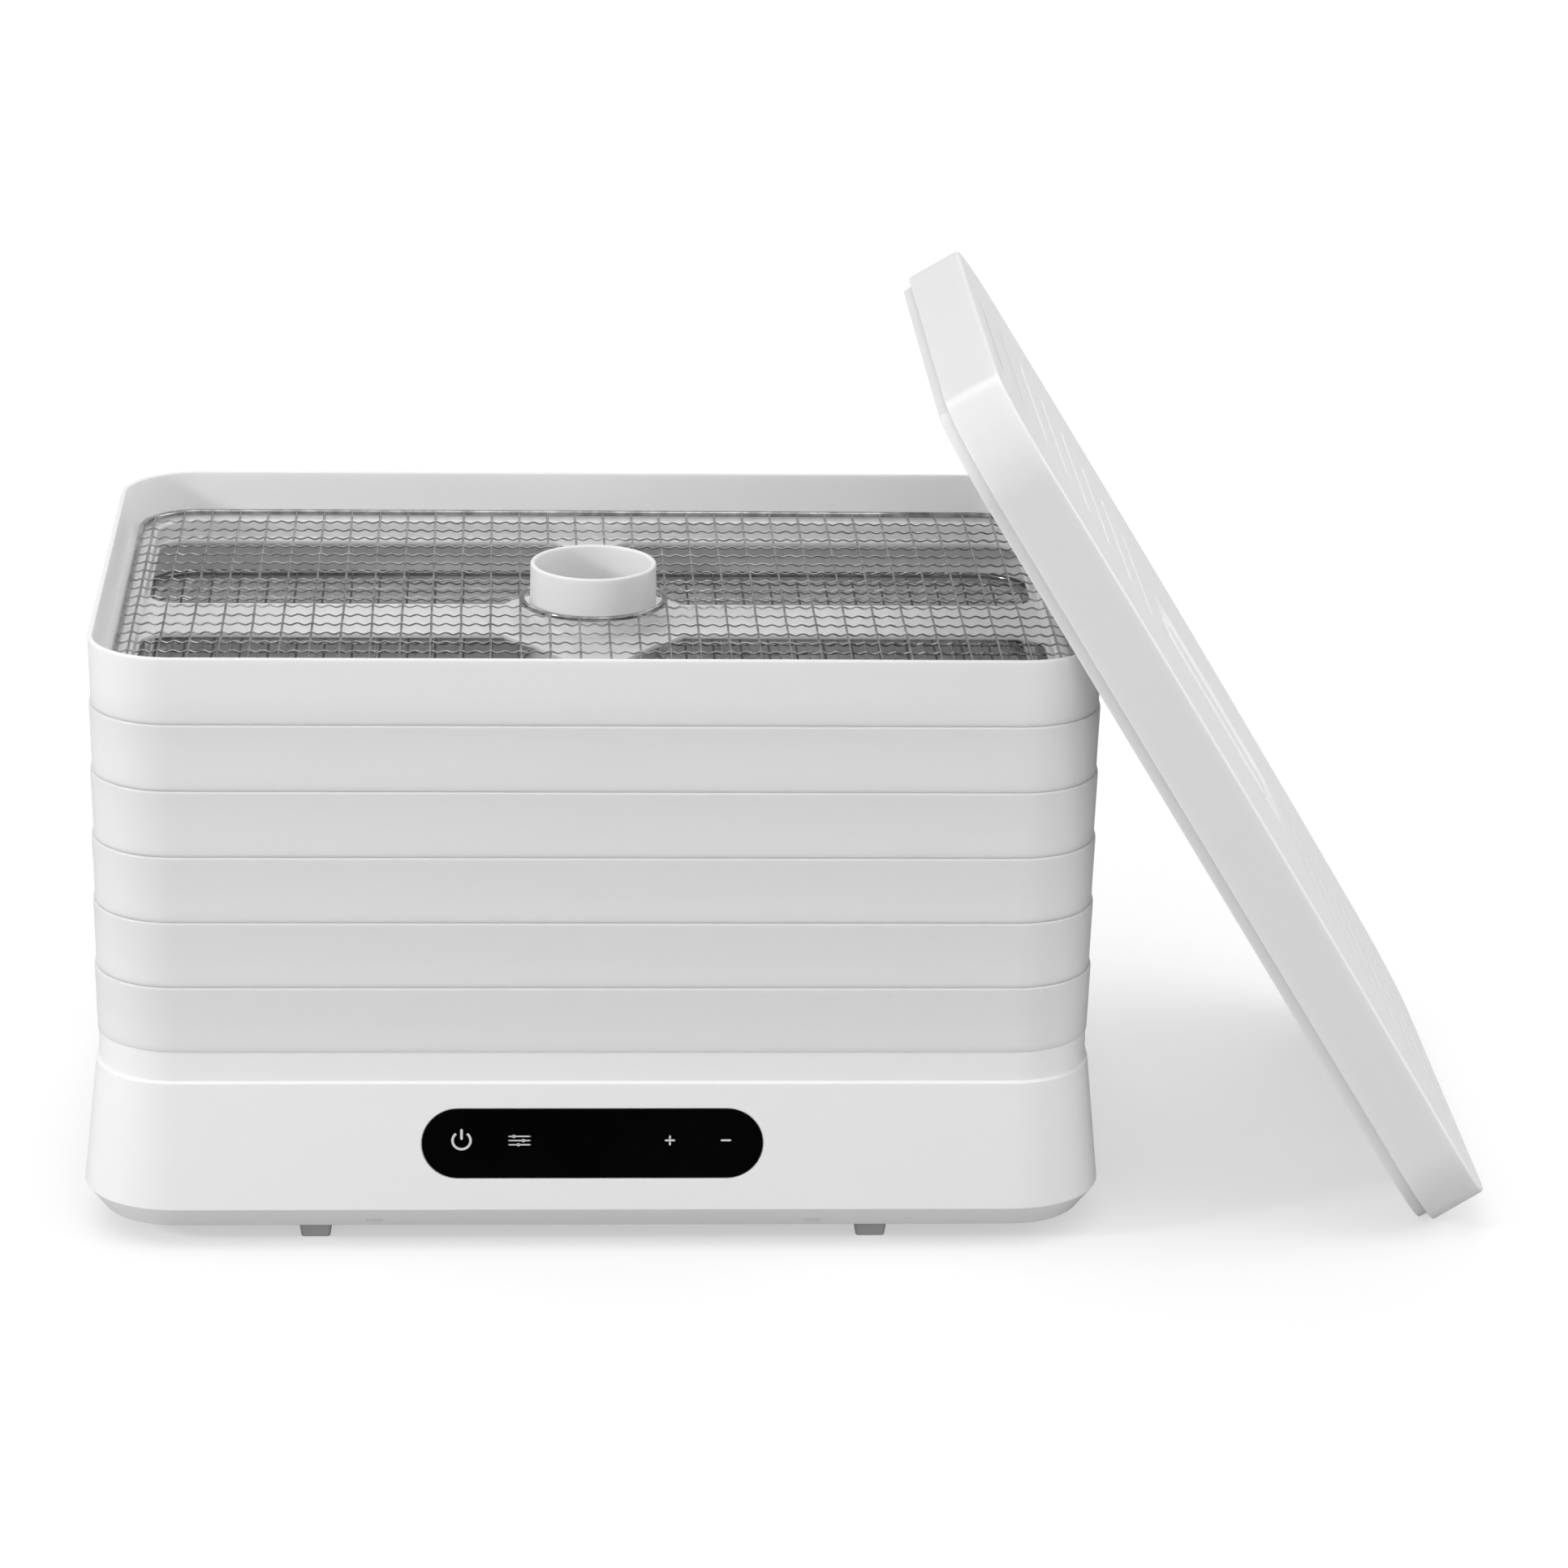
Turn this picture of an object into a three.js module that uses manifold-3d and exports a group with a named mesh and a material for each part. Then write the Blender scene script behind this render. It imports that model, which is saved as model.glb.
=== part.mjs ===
// Food dehydrator: a heater and fan base with a touch panel, six stacked trays with woven mesh inserts,
// and a lid that leans on the right of the stack. Millimetres, +Z up. Every piece is drawn about the
// stack's centre line with the table at z 0. The finished group is then moved so that its origin is the
// middle of its footprint.
import * as THREE from "three";
import { mergeVertices } from "three/addons/utils/BufferGeometryUtils.js";
import Module from "manifold-3d";

const wasm = await Module();
wasm.setup();

const GAP = 0.3;
const CUT = 1; // how far a cutter runs past the face it opens, and how deep joined solids overlap
const FINE = 3; // curve divisions of the corners that show; a corner gets twice as many flats
const COARSE = 2;
const ROUND = 20; // sides of a large round part
const SMALL = 16;
const TINY = 12;
const TURN = 2 * Math.PI;

// Stack
const RIM_X = 200;
const RIM_Y = 135.85;
const RIM_R = 33.2;
const TRAY_COUNT = 6;
const TRAY_PITCH = 27.3;

// Base
const BASE_TOP = 84;
const FLOOR_Z = 8.4;
const SKIRT_BOTTOM = 18.2;
const SKIRT_TOP = 71.3;
const BASE_WALL = 2.5;
const SKIRT_FLARE = 4.1;
const SIDE_FLARE = 5.6;
const BEVEL_INSET = 7.5;
const LEDGE = 1.2; // the skirt's top edge stands this far out from the collar
const COLLAR = [RIM_X - 1.2, RIM_Y - 1.2, 32];
const COLLAR_WALL = 1.5;
const DECK_TOP = 77.5;
const DECK_T = 2.5;
const DECK_LIP = 3;
const FLOOR_T = 2.5;
const FLOOR_TOP = FLOOR_Z + FLOOR_T;
const FLOOR = COLLAR.map((value) => value - BEVEL_INSET + 0.9);
const INTAKE = { reach: 40, pitch: 10, width: 4, radius: 47 };
const FOOT = { x: 112, y: 119.5, half: [5.8, 5], radius: 1.5, flare: 1.2, stem: 3 };
const CLIP = { x: 88, y: -134.5, radius: 3.6, top: 13 }; // recesses under the front bevel
const SCREW = { x: 168, y: 92, radius: 3.8, head: 1.2, sunk: 1.6, slot: 1 };
const GLAND = { x: 130, z: 32, hole: 6.3, bore: 3.4, neck: 6, flange: 9, sleeve: 7.4 };

// Control panel, on the leaning front wall
const WALL_LEAN = Math.atan2(SKIRT_FLARE, SKIRT_TOP - SKIRT_BOTTOM);
const PANEL_Z = 45.8;
const PANEL_Y = -(COLLAR[1] + LEDGE + (SKIRT_TOP - PANEL_Z) * Math.tan(WALL_LEAN));
const PANEL = [68, 14.8];
const LENS_T = 1.4;
const WINDOW = [104, 17, 12];
const DISPLAY = [46, 15, 2.6];
const CONTROL_BOARD = { plate: [126, 26, 1.6], chip: [14, 14, 2.4], plug: [16, 6, 6], depth: 5.6 };

// Fan, duct and heater
const DUCT_R = 52;
const DUCT_T = 2;
const DUCT_BORE = DUCT_R - DUCT_T - GAP;
const GRILLE_T = 3;
const BAR = 2.4;
const NOZZLE_FLANGE = 3;
const MOTOR = { radius: 19, low: 15, high: 36, boss: 7, cap: 9, capHeight: 2.5, vents: 6 };
const BRACKET = { low: 18, high: 25, arm: [7, 3], ring: 4, foot: 2 };
const SHAFT_R = 1.6;
const SHAFT_LOW = 28;
const FAN_Z = [40, 53];
const FAN_HUB = [11, 9.5];
const BLADES = 7;
const BLADE = { root: 9, tip: 45, thick: 1.6, chord: 15, steep: 38, twist: 24 };
const COIL = { z: 69.5, radius: 1.5, inner: 15, outer: 43, turns: 2.6, steps: 44 };
const HEATER_PLATE = { thick: 1.6, height: 9 };
const CUTOUT = { radius: 6, z: [44, 50], out: 9, tab: [3, 20, 2] };
const SENSOR = { radius: 2.2, z: [50, 66], foot: [10, 6, 3] };

// Power board: where it stands, and what stands on it
const POWER_BOARD = { x: -130, y: 40, z: FLOOR_TOP + 6, size: [80, 66, 1.6] };
const BOARD_POST = { radius: 2.5, x: 35, y: 28 };
const CAPACITOR = { radius: 7, height: 18, at: [-118, 52] };
const BOARD_BLOCKS = [
  { size: [18, 15, 16], at: [-148, 52] },
  { size: [16, 20, 14], at: [-125, 24] },
  { size: [28, 9, 10], at: [-105, 63] },
];

// Tray section, measured down from the rim
const TRAY_DRAFT = 0.8;
const TRAY_WALL = 2;
const SHELF_Z = -17.8;
const SHELF_W = 15;
const SHEET = 2; // thickness of the shelf, the floor and the hub
const TRAY_BOTTOM = -(TRAY_PITCH - GAP);
const NEST_DEPTH = 4.7;
const NEST_INSET = 3;
const NEST_WALL = 1.8;
const HUB_R = 25.9;
const HUB_DROP = 0.4;
const HUB_FLANGE_R = 42.5;
const OPENING = { x: [11, 184.2], y: [21, 114.4], radius: 12 }; // the floor has one in each quarter

// Mesh insert
const MESH_INSET = 7.15;
const WIRE = 2.5;
const MESH_Z = -16.1;
const MESH_T = 0.8;
const RING_R = [28.25, 30.5];

// Lid, in its own frame: z 0 is the open edge of its skirt
const LID = [201.3, 136.65, 38];
const LID_T = 23.75;
const LID_WALL = 2.2;
const LID_CHAMFER = 1;
const LIP_INSET = 3.6;
const LIP_DROP = 4.7;
const LID_LEAN = THREE.MathUtils.degToRad(58.45);
const LID_AT = [239.7, -2, 171.84];
const VENT = { first: 70.3, pitch: 17, count: 8, width: 3, length: 120 };
const DISH = { x: 58, y: 32, radius: 20, deep: 6, slope: 4 };
const GRIP = { x: 41, y: 12.2, stem: 10.2, top: 13.8, radius: 5, proud: 0.6 };
const WELL = { deep: 14, radius: 7, margin: 2 };
const DEFLECTOR = { radius: 30, tip: 6, height: 9, rim: 2 };

const white = (roughness) => ({ color: 0xf0f0ee, roughness, metalness: 0 });
const LOOKS = {
  body: white(0.3),
  tray: white(0.34),
  lid: white(0.3),
  inner: { color: 0xd9d9d4, roughness: 0.55, metalness: 0 },
  foot: { color: 0xb9b9b6, roughness: 0.7, metalness: 0 },
  lens: { color: 0x050506, roughness: 0.06, metalness: 0 },
  steel: { color: 0xc4c6c8, roughness: 0.22, metalness: 1 },
  dark: { color: 0x26272a, roughness: 0.5, metalness: 0 },
  board: { color: 0x1f5a38, roughness: 0.5, metalness: 0 },
  mica: { color: 0xc9b78f, roughness: 0.6, metalness: 0 },
};

// Helpers ---------------------------------------------------------------------------------------------

function solidOf(geometry) {
  const loose = geometry.index ? geometry.toNonIndexed() : geometry;
  const bare = new THREE.BufferGeometry().setAttribute("position", loose.getAttribute("position"));
  const merged = mergeVertices(bare, 1e-4);
  return new wasm.Manifold(
    new wasm.Mesh({
      numProp: 3,
      vertProperties: merged.attributes.position.array,
      triVerts: new Uint32Array(merged.index.array),
    }),
  );
}

function geometryOf(solid) {
  const mesh = solid.asOriginal().simplify(0.01).getMesh();
  const geometry = new THREE.BufferGeometry();
  geometry.setAttribute("position", new THREE.BufferAttribute(mesh.vertProperties, 3));
  geometry.setIndex(new THREE.BufferAttribute(mesh.triVerts, 1));
  const flat = geometry.toNonIndexed();
  flat.computeVertexNormals();
  return flat;
}

function union(...solids) {
  return solids.reduce((sum, next) => sum.add(next));
}

function cut(solid, ...tools) {
  return tools.reduce((rest, tool) => rest.subtract(tool), solid);
}

function roundedRect(halfX, halfY, radius) {
  const x = halfX - radius;
  const y = halfY - radius;
  const quarter = Math.PI / 2;
  const shape = new THREE.Shape();
  shape.moveTo(x, -halfY);
  shape.absarc(x, -y, radius, -quarter, 0);
  shape.absarc(x, y, radius, 0, quarter);
  shape.absarc(-x, y, radius, quarter, 2 * quarter);
  shape.absarc(-x, -y, radius, 2 * quarter, 3 * quarter);
  shape.closePath();
  return shape;
}

// A rounded block from z0 to z1. Its top is `grow` larger all round than its bottom, or `growX` along X.
function slab(halfX, halfY, radius, z0, z1, { grow = 0, growX = grow, divisions = COARSE } = {}) {
  const height = z1 - z0;
  const geometry = new THREE.ExtrudeGeometry(roundedRect(halfX, halfY, radius), {
    depth: height,
    bevelEnabled: false,
    curveSegments: divisions,
  });
  const position = geometry.attributes.position;
  for (let i = 0; i < position.count; i++) {
    if (position.getZ(i) < height / 2) continue;
    position.setX(i, position.getX(i) * (1 + growX / halfX));
    position.setY(i, position.getY(i) * (1 + grow / halfY));
  }
  return solidOf(geometry.translate(0, 0, z0));
}

function ring(outer, wall, z0, z1, options) {
  const [halfX, halfY, radius] = outer;
  const hole = slab(halfX - wall, halfY - wall, radius - wall, z0 - CUT, z1 + CUT, options);
  return slab(halfX, halfY, radius, z0, z1, options).subtract(hole);
}

function inset(outline, distance) {
  return outline.map((value) => value - distance);
}

function disc(radius, z0, z1, { top = radius, at = [0, 0], sides = ROUND } = {}) {
  const geometry = new THREE.CylinderGeometry(top, radius, z1 - z0, sides);
  geometry.rotateX(Math.PI / 2);
  return solidOf(geometry.translate(at[0], at[1], (z0 + z1) / 2));
}

function tube(radius, wall, z0, z1, options) {
  return disc(radius, z0, z1, options).subtract(disc(radius - wall, z0 - CUT, z1 + CUT, options));
}

function box(sizeX, sizeY, sizeZ, x, y, z) {
  return solidOf(new THREE.BoxGeometry(sizeX, sizeY, sizeZ).translate(x, y, z));
}

function spin(solid, angle) {
  return solid.rotate([0, 0, THREE.MathUtils.radToDeg(angle)]);
}

const group = new THREE.Group();

function add(name, solid, look) {
  const mesh = new THREE.Mesh(geometryOf(solid), new THREE.MeshStandardMaterial(LOOKS[look]));
  mesh.name = name;
  group.add(mesh);
  return mesh;
}

function fourCorners(x, y) {
  return [-1, 1].flatMap((sx) => [-1, 1].map((sy) => [sx * x, sy * y]));
}

function aroundCircle(count, make) {
  return Array.from({ length: count }, (_, i) => spin(make(i), (i * TURN) / count));
}

// Base -------------------------------------------------------------------------------------------------

// The closed outside of the base, or, with a wall given, the space inside that wall.
function baseBody(wall) {
  const skirt = COLLAR.map((value) => value + LEDGE - wall);
  const flared = [skirt[0] + SIDE_FLARE, skirt[1] + SKIRT_FLARE, skirt[2] + SKIRT_FLARE];
  const bottom = flared.map((value) => value - BEVEL_INSET);
  const collar = inset(COLLAR, wall ? COLLAR_WALL : 0);
  const low = wall ? FLOOR_Z - CUT : FLOOR_Z;
  const options = { divisions: wall ? COARSE : FINE };
  return union(
    slab(...bottom, low, SKIRT_BOTTOM, { ...options, grow: BEVEL_INSET }),
    slab(...flared, SKIRT_BOTTOM, SKIRT_TOP, { ...options, grow: -SKIRT_FLARE, growX: -SIDE_FLARE }),
    slab(...collar, SKIRT_TOP - 2 * CUT, wall ? BASE_TOP + CUT : BASE_TOP, options),
  );
}

// Turns a solid drawn in the XY plane, facing +Z, onto the leaning front wall.
function ontoFront(solid) {
  const lean = 90 - THREE.MathUtils.radToDeg(WALL_LEAN);
  return solid.rotate([lean, 0, 0]).translate([0, PANEL_Y, PANEL_Z]);
}

function pill(halfX, halfY, z0, z1, divisions = FINE) {
  return slab(halfX, halfY, halfY - 0.01, z0, z1, { divisions });
}

// A round bar along Y through the rear wall, from one distance behind the stack's rim to another.
function throughRear(radius, from, to) {
  const bar = new THREE.CylinderGeometry(radius, radius, to - from, SMALL);
  return solidOf(bar.translate(GLAND.x, RIM_Y + (from + to) / 2, GLAND.z));
}

function baseHousing() {
  const pocketHalf = PANEL.map((value) => value + GAP);
  const pocket = ontoFront(pill(...pocketHalf, -LENS_T - 0.1, CUT));
  const window = ontoFront(box(...WINDOW, 0, 0, -WINDOW[2] / 3));
  const clips = [-CLIP.x, CLIP.x].map((x) =>
    disc(CLIP.radius, FLOOR_Z - CUT, CLIP.top, { at: [x, CLIP.y], sides: TINY }),
  );
  const glandHole = throughRear(GLAND.hole, -10, 10);
  return cut(baseBody(0), baseBody(BASE_WALL), pocket, window, glandHole, ...clips);
}

function cordGland() {
  const neck = throughRear(GLAND.neck, -6.5, 6.5);
  const flange = throughRear(GLAND.flange, 4.1, 7.1);
  const sleeve = throughRear(GLAND.sleeve, 6.5, 14.5);
  return cut(union(neck, flange, sleeve), throughRear(GLAND.bore, -8, 16));
}

const FOOT_PLACES = fourCorners(FOOT.x, FOOT.y);
const SCREW_PLACES = fourCorners(SCREW.x, SCREW.y);

function baseFloor() {
  const slots = [];
  for (let x = -INTAKE.reach; x <= INTAKE.reach; x += INTAKE.pitch) {
    const reach = Math.sqrt(INTAKE.radius ** 2 - x ** 2);
    slots.push(box(INTAKE.width, 2 * reach, 4 * FLOOR_T, x, 0, FLOOR_Z));
  }
  const feet = FOOT_PLACES.map((at) =>
    disc(FOOT.stem + GAP, FLOOR_Z - CUT, FLOOR_TOP + CUT, { at, sides: TINY }),
  );
  const screws = SCREW_PLACES.map((at) =>
    disc(SCREW.radius + GAP, FLOOR_Z - CUT, FLOOR_Z + SCREW.sunk, { at, sides: TINY }),
  );
  return cut(slab(...FLOOR, FLOOR_Z, FLOOR_TOP), ...slots, ...feet, ...screws);
}

function foot(at) {
  const block = slab(...FOOT.half, FOOT.radius, 0, FLOOR_Z - GAP, { grow: FOOT.flare });
  const pad = block.translate([...at, 0]);
  const stem = disc(FOOT.stem, FLOOR_Z - CUT, FLOOR_TOP + 1, { at, sides: TINY });
  return union(pad, stem);
}

function floorScrew([x, y]) {
  const low = FLOOR_Z + 0.1;
  const head = disc(SCREW.radius, low, low + SCREW.head, { at: [x, y], sides: TINY });
  const bar = 1.2 * SCREW.radius;
  const cross = union(
    box(bar, SCREW.slot, SCREW.head, x, y, FLOOR_Z),
    box(SCREW.slot, bar, SCREW.head, x, y, FLOOR_Z),
  );
  return head.subtract(cross);
}

function baseDeck() {
  const under = DECK_TOP - DECK_T;
  const plate = slab(...inset(COLLAR, COLLAR_WALL + GAP), under, DECK_TOP);
  const lip = tube(DUCT_R + DECK_LIP, 2, under - 2, under + CUT);
  return cut(union(plate, lip), disc(DUCT_R - 1, 0, BASE_TOP));
}

function outletGrille() {
  const low = DECK_TOP - DECK_T;
  const high = low + GRILLE_T;
  const outer = DUCT_R - 1 - GAP;
  const rim = tube(outer, GRILLE_T, low, high);
  const inner = tube(HUB_R, SHEET, low, high);
  const spoke = box(outer - HUB_R, BAR, GRILLE_T, (outer + HUB_R) / 2 - CUT, 0, (low + high) / 2);
  const crossBar = box(2 * HUB_R - SHEET, BAR, GRILLE_T, 0, 0, (low + high) / 2);
  const cross = union(crossBar, spin(crossBar, TURN / 4), disc(7, low, high, { sides: SMALL }));
  return union(rim, inner, ...aroundCircle(8, () => spoke), cross);
}

// The short tube that sends air from the grille up the trays' hubs.
function airNozzle() {
  const low = DECK_TOP - DECK_T + GRILLE_T + GAP;
  const wall = tube(HUB_R, SHEET, low, BASE_TOP - GAP);
  return union(wall, tube(HUB_R + NOZZLE_FLANGE, NOZZLE_FLANGE + SHEET, low, low + 1.2));
}

function airDuct() {
  const low = FLOOR_TOP + GAP;
  const wall = tube(DUCT_R, DUCT_T, low, DECK_TOP - DECK_T - GAP);
  return union(wall, tube(DUCT_R + 5, 6, low, low + 2));
}

// Fan --------------------------------------------------------------------------------------------------

function fanMotor() {
  const can = disc(MOTOR.radius, MOTOR.low, MOTOR.high);
  const boss = disc(MOTOR.boss, MOTOR.high - CUT, MOTOR.high + 2, { sides: SMALL });
  const cap = disc(MOTOR.cap, MOTOR.low - MOTOR.capHeight, MOTOR.low + CUT, { sides: SMALL });
  const vents = aroundCircle(MOTOR.vents, () => box(8, 3, 6, MOTOR.radius - CUT, 0, MOTOR.high - 6));
  const bore = disc(SHAFT_R + GAP, SHAFT_LOW, FAN_Z[0], { sides: TINY });
  return cut(union(can, boss, cap), bore, ...vents);
}

function motorBracket() {
  const [armWidth, armHeight] = BRACKET.arm;
  const inner = MOTOR.radius + BRACKET.ring;
  const outer = DUCT_BORE - BRACKET.foot;
  const middle = (BRACKET.low + BRACKET.high) / 2;
  const arm = box(outer - inner + CUT, armWidth, armHeight, (inner + outer) / 2, 0, middle);
  const arms = aroundCircle(3, () => spin(arm, TURN / 12));
  const ringWall = BRACKET.ring - GAP;
  const collar = tube(inner, ringWall, BRACKET.low, BRACKET.high);
  return union(collar, tube(DUCT_BORE, BRACKET.foot, BRACKET.low, BRACKET.high), ...arms);
}

function motorShaft() {
  return disc(SHAFT_R, SHAFT_LOW + 0.5, FAN_Z[1] + 3, { sides: TINY });
}

// One blade: a thin plate from the hub to the tip that twists from steep to shallow.
function fanBlade() {
  const length = BLADE.tip - BLADE.root;
  const plate = new THREE.BoxGeometry(length, BLADE.thick, BLADE.chord, 3, 1, 1);
  const blade = plate.translate(length / 2 + BLADE.root, 0, 0);
  const position = blade.attributes.position;
  for (let i = 0; i < position.count; i++) {
    const reach = (position.getX(i) - BLADE.root) / length;
    const tilt = THREE.MathUtils.degToRad(BLADE.steep + BLADE.twist * reach);
    const y = position.getY(i);
    const z = position.getZ(i);
    position.setY(i, y * Math.cos(tilt) - z * Math.sin(tilt));
    position.setZ(i, y * Math.sin(tilt) + z * Math.cos(tilt));
  }
  return solidOf(blade.translate(0, 0, (FAN_Z[0] + FAN_Z[1]) / 2));
}

function fanImpeller() {
  const [low, high] = FAN_Z;
  const hub = disc(FAN_HUB[0], low, high, { top: FAN_HUB[1] });
  const bore = disc(SHAFT_R + GAP, low - CUT, high + CUT, { sides: TINY });
  return cut(union(hub, ...aroundCircle(BLADES, fanBlade)), bore);
}

// Heater -----------------------------------------------------------------------------------------------

function heaterFrame() {
  const top = COIL.z - COIL.radius - 0.5;
  const middle = top - HEATER_PLATE.height / 2;
  const plate = box(2 * DUCT_BORE - 1, HEATER_PLATE.thick, HEATER_PLATE.height, 0, 0, middle);
  const ears = tube(DUCT_BORE, HEATER_PLATE.thick, top - HEATER_PLATE.height, middle + 1);
  return union(plate, spin(plate, TURN / 4), ears);
}

function heaterCoil() {
  const points = [];
  for (let i = 0; i <= COIL.steps; i++) {
    const along = i / COIL.steps;
    const angle = along * COIL.turns * TURN;
    const radius = COIL.inner + (COIL.outer - COIL.inner) * along;
    points.push(new THREE.Vector3(radius * Math.cos(angle), radius * Math.sin(angle), COIL.z));
  }
  const section = new THREE.Shape();
  section.absarc(0, 0, COIL.radius, 0, TURN);
  return solidOf(
    new THREE.ExtrudeGeometry(section, {
      steps: COIL.steps,
      curveSegments: 3,
      extrudePath: new THREE.CatmullRomCurve3(points),
    }),
  );
}

function thermalCutout() {
  const x = -DUCT_R - CUTOUT.out;
  const [low, high] = CUTOUT.z;
  const can = disc(CUTOUT.radius, low, high, { at: [x, 0], sides: SMALL });
  return union(can, box(...CUTOUT.tab, x + CUTOUT.radius - 0.8, 0, (low + high) / 2));
}

function temperatureSensor() {
  const y = DUCT_R + SENSOR.foot[1] / 2 + GAP;
  const probe = disc(SENSOR.radius, ...SENSOR.z, { at: [0, y], sides: TINY });
  return union(probe, box(...SENSOR.foot, 0, y, SENSOR.z[0]));
}

// Electronics ------------------------------------------------------------------------------------------

function powerBoard() {
  const { x, y, z, size } = POWER_BOARD;
  const posts = fourCorners(BOARD_POST.x, BOARD_POST.y).map(([dx, dy]) =>
    disc(BOARD_POST.radius, FLOOR_TOP + GAP, z, { at: [x + dx, y + dy], sides: 8 }),
  );
  const blocks = BOARD_BLOCKS.map((block) => box(...block.size, ...block.at, z + block.size[2] / 2));
  const capacitor = disc(CAPACITOR.radius, z, z + CAPACITOR.height, { at: CAPACITOR.at, sides: SMALL });
  return union(box(...size, x, y, z), capacitor, ...blocks, ...posts);
}

function controlBoard() {
  const { plate, chip, plug, depth } = CONTROL_BOARD;
  const chipBlock = box(...chip, 20, 0, -depth - chip[2] / 2);
  const plugBlock = box(...plug, -40, 4, -depth - plug[2] / 2);
  return ontoFront(union(box(...plate, 0, 0, -depth), chipBlock, plugBlock));
}

function displayModule() {
  return ontoFront(box(...DISPLAY, 0, 0, -LENS_T - 0.5 - DISPLAY[2] / 2));
}

function controlLens() {
  return ontoFront(pill(...PANEL, -LENS_T + GAP, 0));
}

// Trays ------------------------------------------------------------------------------------------------

function trayFrame() {
  const rim = [RIM_X, RIM_Y, RIM_R];
  const low = inset(rim, TRAY_DRAFT);
  const floorTop = TRAY_BOTTOM + SHEET;
  const shelfLow = SHELF_Z - SHEET;
  const outside = slab(...low, TRAY_BOTTOM, 0, { grow: TRAY_DRAFT });
  const inside = slab(...inset(low, TRAY_WALL), TRAY_BOTTOM - CUT, CUT, { grow: TRAY_DRAFT });
  const web = ring(inset(rim, TRAY_WALL), NEST_INSET + 0.2, TRAY_BOTTOM, floorTop);
  const skirt = ring(inset(rim, NEST_INSET), NEST_WALL, TRAY_BOTTOM - NEST_DEPTH, TRAY_BOTTOM + CUT);
  const shelf = ring(inset(rim, TRAY_WALL + 0.2), SHELF_W - TRAY_WALL - 0.2, shelfLow, SHELF_Z);
  const step = ring(inset(rim, SHELF_W - SHEET), SHEET, TRAY_BOTTOM, SHELF_Z - CUT);
  const floor = slab(...inset(rim, SHELF_W - CUT), TRAY_BOTTOM, floorTop);
  const [openX, openY] = [OPENING.x, OPENING.y];
  const half = [(openX[1] - openX[0]) / 2, (openY[1] - openY[0]) / 2];
  const opening = slab(...half, OPENING.radius, TRAY_BOTTOM - CUT, floorTop + CUT);
  const centres = fourCorners(openX[0] + half[0], openY[0] + half[1]);
  const openings = centres.map((at) => opening.translate([...at, 0]));
  const flange = disc(HUB_FLANGE_R, TRAY_BOTTOM, floorTop);
  const hub = disc(HUB_R, TRAY_BOTTOM, -HUB_DROP);
  const bore = disc(HUB_R - SHEET, TRAY_BOTTOM - CUT, CUT);
  const walls = outside.subtract(inside);
  return union(walls, web, skirt, shelf, step, cut(floor, ...openings), flange, hub).subtract(bore);
}

function meshInsert() {
  const outline = inset([RIM_X, RIM_Y, RIM_R], MESH_INSET);
  const low = SHELF_Z + GAP;
  const sides = { sides: SMALL };
  const frame = ring(outline, WIRE, low, low + WIRE);
  const sheet = slab(...inset(outline, CUT), MESH_Z - MESH_T / 2, MESH_Z + MESH_T / 2);
  const collar = disc(RING_R[1], low, low + WIRE, sides);
  return cut(union(frame, sheet, collar), disc(RING_R[0], low - CUT, CUT, sides));
}

// Lid --------------------------------------------------------------------------------------------------

function lidVents() {
  const vents = [];
  for (let i = 0; i < VENT.count; i++) {
    const x = VENT.first + i * VENT.pitch;
    const vent = box(VENT.width, VENT.length, LID_T / 2, x, 0, LID_T);
    vents.push(vent, spin(vent, Math.PI));
  }
  return vents;
}

function lidShell() {
  const options = { divisions: FINE };
  const shoulder = LID_T - LID_CHAMFER;
  const skin = union(
    slab(...LID, 0, shoulder, options),
    slab(...LID, shoulder, LID_T, { ...options, grow: -LID_CHAMFER }),
  );
  const hollow = slab(...inset(LID, LID_WALL), -CUT, LID_T - LID_WALL);
  const web = ring(inset(LID, LID_WALL - 0.4), LIP_INSET, 1, 3);
  const lip = ring(inset(LID, LIP_INSET), LID_WALL, -LIP_DROP, 2.5);
  const { x, y, radius, deep, slope } = DISH;
  const dishFloor = LID_T - deep;
  const wall = LID_WALL + 0.8;
  const bowl = slab(x + wall, y + wall, radius + 2, dishFloor - LID_WALL, LID_T - 1.5, { grow: slope });
  const dish = slab(x, y, radius, dishFloor, LID_T + CUT, { grow: slope, divisions: FINE });
  const wellFloor = LID_T - WELL.deep;
  const well = slab(GRIP.x + 2, y + 1, WELL.radius + 1, wellFloor - LID_WALL, dishFloor - CUT);
  const pocketHalf = (y - WELL.margin - GRIP.y) / 2;
  const pocket = slab(GRIP.x, pocketHalf, WELL.radius, wellFloor, LID_T + CUT);
  const pockets = [-1, 1].map((side) => pocket.translate([0, side * (GRIP.y + pocketHalf), 0]));
  const shell = union(skin.subtract(hollow), web, lip, bowl, well);
  return cut(shell, dish, ...pockets, ...lidVents());
}

function lidHandle() {
  const low = LID_T - DISH.deep + GAP;
  const stem = slab(GRIP.x - 1, GRIP.stem, GRIP.radius - 1, low, LID_T - 2);
  const grip = slab(GRIP.x + 1, GRIP.top, GRIP.radius, LID_T - 3, LID_T + GRIP.proud, { grow: -1 });
  return union(stem, grip);
}

// The cone under the lid that turns rising air outwards.
function lidDeflector() {
  const { radius, tip, height, rim } = DEFLECTOR;
  const top = LID_T - WELL.deep - LID_WALL - GAP;
  const cone = disc(tip, top - height, top - rim, { top: radius });
  return union(cone, disc(radius, top - rim - 0.01, top));
}

// Assembly ---------------------------------------------------------------------------------------------

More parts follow.
